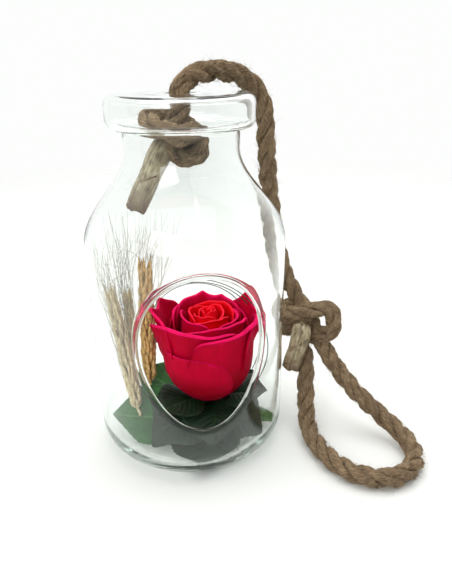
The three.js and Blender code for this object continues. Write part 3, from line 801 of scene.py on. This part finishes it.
def rose_head():
    heart = petal_material("petal_heart", (0.45, 0.0, 0.0), (0.9, 0.0, 0.003), (1.0, 0.015, 0.045))
    body = petal_material("petal_body", (0.24, 0.0, 0.0), (0.6, 0.0, 0.03), (0.95, 0.006, 0.13))
    for k, (radius, lean) in enumerate(INNER_PETALS):
        layer = k / (len(INNER_PETALS) - 1)
        top = 0.0905 - 0.0008 * math.sin(2.1 * k) - 0.0018 * layer ** 2
        petal(k + 1, 40 + k * GOLDEN_TURN, 105 - 30 * layer, radius, -0.06 * radius, top, radius * lean,
              0.0003 + 0.0005 * layer, [], heart if k < HEART_PETALS else body)
    for k, numbers in enumerate(OUTER_PETALS):
        petal(len(INNER_PETALS) + k + 1, *numbers, body)
    # The heart of the bud: a last petal, rolled into a slim cone.
    v, w = np.meshgrid(np.linspace(0, 1, 40), np.linspace(0, 1, 60), indexing="ij")
    angle = w * 4.2 * math.pi
    r = (0.0005 + 0.0018 * w) * (1 - 0.55 * v ** 3)
    z = ROSE_BASE + 0.003 + (0.059 - 0.0025 * w) * v
    surface = stacked(ROSE_X + r * np.cos(angle), ROSE_Y + r * np.sin(angle), z)
    sheet_piece("rose_bud_heart", surface, 0.0003, stacked(w, v), heart, "petal", ("rose_bud_core",))


rose_head()

# ---- Leaves, sepals, stem ----
# Each leaf: azimuth, start radius and height from the rose's axis, length, half width, rise at
# its base, droop at its tip, and how much its side towards a larger azimuth hangs, in degrees.
LEAVES = {
    "leaf_left": (173, 0.02, 0.011, 0.047, 0.0175, 14, 0.004, 34),
    "leaf_front_left": (205, 0.01, 0.022, 0.036, 0.02, 6, 0.016, 22),
    "leaf_front": (253, 0.01, 0.011, 0.041, 0.021, -8, 0.000, 0),
    "leaf_front_right": (316, 0.009, 0.021, 0.03, 0.018, 4, 0.012, -26),
    "leaf_right": (340, 0.018, 0.012, 0.03, 0.01, 8, 0.006, 0),
    "leaf_right_curl": (25, 0.014, 0.019, 0.04, 0.0075, 50, 0.022, 10),
    "leaf_back_right": (58, 0.014, 0.014, 0.038, 0.012, 20, 0.006, 0),
    "leaf_back": (101, 0.016, 0.0095, 0.038, 0.013, 14, 0.002, 0),
    "leaf_back_left": (148, 0.018, 0.019, 0.038, 0.016, 36, 0.003, 14),
    "leaf_upper_left": (206, 0.008, 0.029, 0.036, 0.017, 18, 0.006, 6),
    "leaf_upper_front": (262, 0.007, 0.0275, 0.033, 0.02, -4, 0.008, 0),
    "leaf_upper_right": (328, 0.008, 0.029, 0.034, 0.017, 22, 0.004, -4),
}
LEAF_THICKNESS = 0.00045
LEAF_LOW = 0.0052         # leaves that reach the floor lie on it at this height


def round_rose(azimuth, out, side, height):
    """A point at a distance out along an azimuth from the rose's axis, and to its side."""
    a = math.radians(azimuth)
    return stacked(ROSE_X + out * math.cos(a) - side * math.sin(a),
                   ROSE_Y + out * math.sin(a) + side * math.cos(a), height)


def leaf(name, azimuth, start, low, length, half, rise, droop, hang, material, phase):
    """A pointed, finely toothed leaf, folded along its midrib, on a short stalk."""
    u, v = across_along(33, 65)
    rise = math.radians(rise)
    teeth = 1 + 0.045 * (np.abs(((v * 15) % 1) - 0.15) < 0.5) * np.abs(u) ** 8
    outline = np.sin(math.pi * v ** 0.8) ** 0.8 * (1 - 0.18 * smoothstep(0.55, 1, v)) + 0.0003 / half
    side = half * outline * u * teeth + 0.0012 * np.sin(3 * v + phase)
    out = start + length * v * math.cos(rise)
    fold = 0.0022 * np.abs(u) * outline
    waves = 0.0012 * np.sin(7 * v + phase + 1.5 * np.sign(u)) * np.abs(u) ** 1.6
    quilt = 0.00018 * np.cos(2 * math.pi * (9 * v - 3.5 * np.abs(u))) * (1 - np.abs(u) ** 6)
    groove = -0.0003 * np.exp(-(u / 0.07) ** 2)
    tip = -0.003 * smoothstep(0.75, 1, v) * math.sin(phase * 1.7)
    height = low + length * v * math.sin(rise) - droop * v * v + fold + waves + quilt + groove + tip
    height = height - side * math.tan(math.radians(hang)) * smoothstep(0.05, 0.4, v)
    lowest = LEAF_LOW + 0.0012 * np.abs(u) + 0.0004 * np.sin(11 * v + phase)
    surface = round_rose(azimuth, out, side, np.maximum(height, lowest))
    surface = kept_inside(surface.reshape(-1, 3)).reshape(surface.shape)
    build = Build()
    build.sheet(surface, LEAF_THICKNESS, stacked((u + 1) / 2, v))
    centre = surface[:, u.size // 2]
    keel = np.vstack([round_rose(azimuth, np.array([0.45 * start]), 0.0, low - 0.0012)[0][None],
                      centre[0] + [0, 0, -0.0004], centre[10:46:6] - [0, 0, 0.0003]])
    keel = smooth_path(keel, 0.0015)
    build.tube(keel, np.linspace(0.00085, 0.00025, len(keel)), 8)
    build.finish(f"{name}_blade", material, "leaf", (name,))


# Painted shade: the leaves under the rose take a near-black copy of the leaf material; the listed ones and
# the sepals keep the plain green.
painted_shade_leaf = leaf_material("leaf_painted_shade", (0.001, 0.01, 0.002), (0.003, 0.026, 0.006), (0.012, 0.05, 0.012))
unshaded_leaf = leaf_material("leaf_unshaded", (0.012, 0.075, 0.016), (0.036, 0.18, 0.036), (0.14, 0.32, 0.1))
UNSHADED_LEAVES = ("leaf_back_left", "leaf_left", "leaf_right", "leaf_back_right")
for number, (leaf_name, numbers) in enumerate(LEAVES.items()):
    leaf(leaf_name, *numbers, unshaded_leaf if leaf_name in UNSHADED_LEAVES else painted_shade_leaf, number * 1.3)

SEPALS, SEPAL_TURN = 5, 17.2
SEPAL_START, SEPAL_LENGTH, SEPAL_HALF_WIDTH, SEPAL_LOW = 0.008, 0.013, 0.0044, 0.0202
for k in range(SEPALS):
    u, v = across_along(15, 30)
    bulge = np.sqrt(np.maximum(0, 1 - v * v)) * (0.55 + 0.45 * np.sin(math.pi * v))
    half = SEPAL_HALF_WIDTH * bulge + 0.0003
    height = SEPAL_LOW + 0.003 * v * v + 0.0005 * np.abs(u) + 0.0003 * np.sin(9 * v + k)
    surface = round_rose(k * 360 / SEPALS + SEPAL_TURN, SEPAL_START + SEPAL_LENGTH * v, half * u, height)
    sheet_piece(f"sepal_{k + 1}", surface, 0.0004, stacked((u + 1) / 2, v), unshaded_leaf, "leaf",
                (f"rose_sepal_{k + 1}",))


def turned(name, line, sides, slot, replaced, ripple, waves):
    """A closed body turned about the rose's axis from (radius, height) pairs, with soft ribs."""
    line = smooth_path(line, 0.0008)
    angle = round_angles(sides)[None]
    share = np.linspace(0, 1, len(line))[:, None]
    r = line[:, :1] * (1 + ripple * np.cos(waves * angle) * np.sin(math.pi * share))
    points = stacked(ROSE_X + r * np.cos(angle), ROSE_Y + r * np.sin(angle), line[:, 1:])
    ends = [[ROSE_X, ROSE_Y, line[0, 1]], [ROSE_X, ROSE_Y, line[-1, 1]]]
    build = Build()
    build.rings(points, sides, ends, stacked(angle / (2 * math.pi), share), [[0, 0], [0, 1]])
    build.finish(name, stem_green, slot, replaced)


stem_green = plant_material("stem_green", (0.035, 0.075, 0.02), (0.12, 0.2, 0.06), 200.0, stretch=1.5)
turned("calyx", [(0.0008, 0.0168), (0.003, 0.0172), (0.0056, 0.0195), (0.0065, 0.0225),
                 (0.0058, 0.025), (0.003, 0.0256)], 40, "leaf", ("rose_calyx",), 0.05, 5)
turned("stem", [(0.0026, 0.0086), (0.0024, 0.011), (0.0022, 0.0135), (0.0025, 0.0168)], 24,
       "stem", ("rose_stem",), 0.06, 3)

# ---- Glue pad ----
GLUE_X, GLUE_Y, GLUE_FLOOR, GLUE_HIGH, GLUE_REACH = 0.006, -0.004, 0.0043, 0.0088, 0.0195


def glue_pad():
    """Set clear glue that ran out over the glass in lobes, with drips and a long tongue in front."""
    rings, sides = 26, 120
    share = np.linspace(0, 1, rings)[:, None]
    angle = round_angles(sides)[None]
    reach = GLUE_REACH + 0.0025 * np.sin(3 * angle + 0.6)
    reach = reach + 0.0015 * np.sin(7 * angle) + 0.0008 * np.sin(13 * angle)
    tongue = np.exp(-((angle - math.radians(291)) / 0.22) ** 2)
    reach = reach + 0.027 * tongue
    r = reach * share
    swell = (1 - share ** 3) ** 0.6 * (0.75 + 0.12 * np.sin(5 * angle + 9 * share))
    height = GLUE_FLOOR + (GLUE_HIGH - GLUE_FLOOR) * swell + 0.001 * tongue * share * (1 - share)
    x, y = GLUE_X + r * np.cos(angle), GLUE_Y + r * np.sin(angle)
    top, low = stacked(x, y, height), stacked(x, y, GLUE_FLOOR)
    build = Build()
    # From the middle of the underside out to the edge, then back over the top to the middle.
    build.rings(np.concatenate([low[1:], top[::-1][1:-1]]), sides,
                [[GLUE_X, GLUE_Y, GLUE_FLOOR], [GLUE_X, GLUE_Y, GLUE_HIGH]])
    tidy_mesh(build.finish("glue", glue_material(), "glue", ("glue_pad",)))


glue_pad()

# ---- Barley ears ----
# Each ear: foot of its stalk, low end and high end of the ear, half width, and where its awns end.
BARLEY = {
    "left": ((-0.036, -0.003, 0.017), (-0.037, -0.001, 0.021), (-0.048, 0.007, 0.107), 0.0056,
             (-0.0525, 0.008, 0.14)),
    "middle": ((-0.035, 0.011, 0.016), (-0.036, 0.012, 0.022), (-0.037, 0.019, 0.1), 0.0046,
               (-0.036, 0.02, 0.15)),
    "right": ((-0.026, 0.008, 0.014), (-0.027, 0.009, 0.034), (-0.025, 0.009, 0.12), 0.0062,
              (-0.018, 0.012, 0.148)),
}
GRAIN_STEP = 0.0026       # from one ring of grains to the next
GRAINS_ROUND = 4
GRAIN_PROFILE = np.array([0.35, 0.75, 1.0, 1.0, 0.85, 0.6, 0.32, 0.1])
EAR_SHARE = 0.93          # the share of an ear's length that bears grains
AWN_SHARE = 0.42          # the share of grains with an awn


def barley(name, foot, low, high, half, tip, material, awn_material, seed):
    random_ = random.Random(seed)
    low, high, foot, tip = (np.array(p) for p in (low, high, foot, tip))
    axis = unit(high - low)
    side = unit(np.cross(axis, [0, 1.0, 0.2]))
    front = np.cross(side, axis)
    size = np.linalg.norm(high - low)
    grains, awns = Build(), Build()
    levels = int(size / GRAIN_STEP)
    for level, nth in itertools.product(range(levels), range(GRAINS_ROUND)):
        share = (level + 0.5) / levels
        slim = math.sin(math.pi * (0.24 + 0.66 * share)) ** 0.6
        turn = (nth + 0.5 * (level % 2)) * 360 / GRAINS_ROUND + random_.uniform(-20, 20)
        turn = math.radians(turn)
        out = side * math.cos(turn) + front * math.sin(turn)
        lean = unit(axis + out * random_.uniform(0.16, 0.3))
        base = low + axis * (share * size * EAR_SHARE) + out * half * 0.22 * slim
        grain = half * random_.uniform(1.75, 2.25) * (0.7 + 0.3 * slim)
        t = np.linspace(0, 1, len(GRAIN_PROFILE))[:, None]
        line = base + lean * grain * t + out * half * 0.18 * np.sin(math.pi * t)
        grains.tube(line, half * 0.21 * GRAIN_PROFILE * (0.6 + 0.4 * slim), 7, 0.004)
        end = tip + side * random_.gauss(0, 0.0085) + front * random_.gauss(0, 0.006)
        end = end + axis * random_.uniform(-0.04, 0.004) * (0.35 + 0.65 * random_.random())
        if random_.random() < AWN_SHARE:
            reach = line[-1] + unit(0.7 * lean + 0.6 * unit(end - line[-1])) * 0.012
            route = [line[-2], line[-1], reach, (reach + end) / 2 + out * 0.0015, end]
            path = smooth_path(kept_inside(route), 0.004)
            awns.tube(path, np.linspace(0.00015, 0.00006, len(path)), 3, 0.004)
    route = [foot, (foot + low) / 2 + [0.0006, 0, 0], low]
    route += [low + axis * size * share for share in (0.5, EAR_SHARE)]
    stalk = smooth_path(route, 0.002)
    grains.tube(stalk, np.linspace(0.001, 0.0006, len(stalk)), 8, 0.004)
    grains.finish(f"barley_{name}", material, "straw", (f"barley_ear_{name}", f"barley_stalk_{name}"))
    awns.finish(f"barley_awns_{name}", awn_material, "straw")


pale_straw = plant_material("straw_pale", (0.56, 0.42, 0.22), (0.92, 0.8, 0.54), 420.0, 0.7, 1.2)
gold_straw = plant_material("straw_gold", (0.45, 0.24, 0.07), (0.9, 0.62, 0.27), 420.0, 0.7, 1.2)
awn_straw = plant_material("straw_awns", (0.2, 0.17, 0.12), (0.58, 0.5, 0.36), 160.0, 0.7, 0.5)
for number, (ear_name, numbers) in enumerate(BARLEY.items()):
    barley(ear_name, *numbers, gold_straw if ear_name == "right" else pale_straw, awn_straw, 60 + number)

# ---- Looped grass blades ----
# Each blade: depth, half width and height of its arch, its middle, turn, and first and last angle.
BLADE_CENTRE = 0.06
BLADES = {
    "outer": (0.008, 0.0455, 0.0465, 0.0085, -20, -38, 212),
    "middle": (0.01, 0.04, 0.0435, 0.009, -12, -30, 205),
    "inner": (0.014, 0.0365, 0.041, 0.008, -6, -28, 200),
}
grass_green = plant_material("grass_green", (0.012, 0.06, 0.035), (0.045, 0.15, 0.085), 90.0, 0.5, 0.4)
for k, (blade_name, (y, wide, tall, cx, yaw, start, end)) in enumerate(BLADES.items()):
    angle = np.radians(np.linspace(start, end, 120))
    yaw = math.radians(yaw)
    across = wide * np.cos(angle)
    wave = 0.001 * np.sin(3 * angle + k)
    line = kept_inside(stacked(cx + across * math.cos(yaw), y + across * math.sin(yaw) + wave,
                               BLADE_CENTRE + tall * np.sin(angle)))
    tangent = unit(np.gradient(line, axis=0))
    outward = np.cross(tangent, [0, 1.0, 0])
    share = np.linspace(0, 1, len(line))
    half = 0.00062 * (0.35 + 0.65 * np.sin(math.pi * np.clip(share, 0.02, 0.98)) ** 0.5)
    flat = unit(np.array([0, 1.0, 0]) + 0.6 * outward)
    u = np.linspace(-1, 1, 5)[None, :, None]
    surface = line[:, None] + flat[:, None] * half[:, None, None] * u - outward[:, None] * (0.0002 * u ** 2)
    sheet_piece(f"grass_{blade_name}", surface, 0.0003, stacked(share[:, None] * 20, (u[..., 0] + 1) / 2),
                grass_green, "grass", (f"grass_blade_{blade_name}",))

# ---- Floor, backdrop and light ----
def stage_floor():
    """A pale table top that fades out into the white all round it."""
    m = Material("pale_stage", Roughness=0.8, Specular_IOR_Level=0.1)
    pale, paler = (0.885, 0.895, 0.875), (0.905, 0.912, 0.895)
    m.connect(Base_Color=m.ramp(m.noise(2.0, detail=2.0), [(0.3, pale), (0.7, paler)]))
    away = m.node("VectorMath", {0: m.place()}, operation="LENGTH").outputs["Value"]
    m.surface(m.levels(away, 0.35, 1.1), m.node("BsdfTransparent"))
    edge = 9.0
    mesh = bpy.data.meshes.new("stage_floor")
    corners = [(-edge, -edge, 0), (edge, -edge, 0), (edge, edge, 0), (-edge, edge, 0)]
    mesh.from_pydata(corners, [], [(0, 1, 2, 3)])
    mesh.materials.append(m.data)
    piece = bpy.data.objects.new("stage_floor", mesh)
    scene.collection.objects.link(piece)


def area_light(name, place, target, size, watts):
    light = bpy.data.lights.new(name, "AREA")
    light.shape = "RECTANGLE"
    light.size, light.size_y = size
    light.energy = watts
    lamp = bpy.data.objects.new(name, light)
    scene.collection.objects.link(lamp)
    back = unit(np.array(place) - np.array(target))
    side = unit(np.cross([0, 0, 1.0], back)) if abs(back[2]) < 0.999 else np.array([1.0, 0, 0])
    up = np.cross(back, side)
    turn = Matrix(np.column_stack([side, up, back]).tolist()).to_4x4()
    lamp.matrix_world = Matrix.Translation(place) @ turn


def sky():
    """A white dome, grey on the side that the window faces."""
    world = bpy.data.worlds.new("studio")
    scene.world = world
    world.use_nodes = True
    nodes, links = world.node_tree.nodes, world.node_tree.links
    background = nodes["Background"]
    coordinates, split, half, ramp = (nodes.new("ShaderNode" + kind)
                                      for kind in ("TexCoord", "SeparateXYZ", "Math", "ValToRGB"))
    grey, white = (0.3, 0.31, 0.3, 1), (0.98, 0.99, 0.98, 1)
    for stop, place, colour in zip(ramp.color_ramp.elements, (0.16, 0.5), (grey, white)):
        stop.position, stop.color = place, colour
    # From -1 to 1 along Y becomes 0 to 1 along the ramp.
    half.operation = "MULTIPLY_ADD"
    half.inputs[1].default_value = half.inputs[2].default_value = 0.5
    links.new(coordinates.outputs["Generated"], split.inputs[0])
    links.new(split.outputs[1], half.inputs[0])
    links.new(half.outputs[0], ramp.inputs[0])
    links.new(ramp.outputs[0], background.inputs[0])


stage_floor()
sky()
area_light("top_softbox", (0.1, 0.1, 1.1), (0, 0, 0), (1.2, 1.0), 7.0)
area_light("front_softbox", (-0.7, -0.9, 0.9), (0, 0, 0.1), (0.7, 0.7), 5.5)
area_light("back_softbox", (0.5, 1.0, 0.7), (0, 0, 0.1), (1.0, 0.6), 1.0)
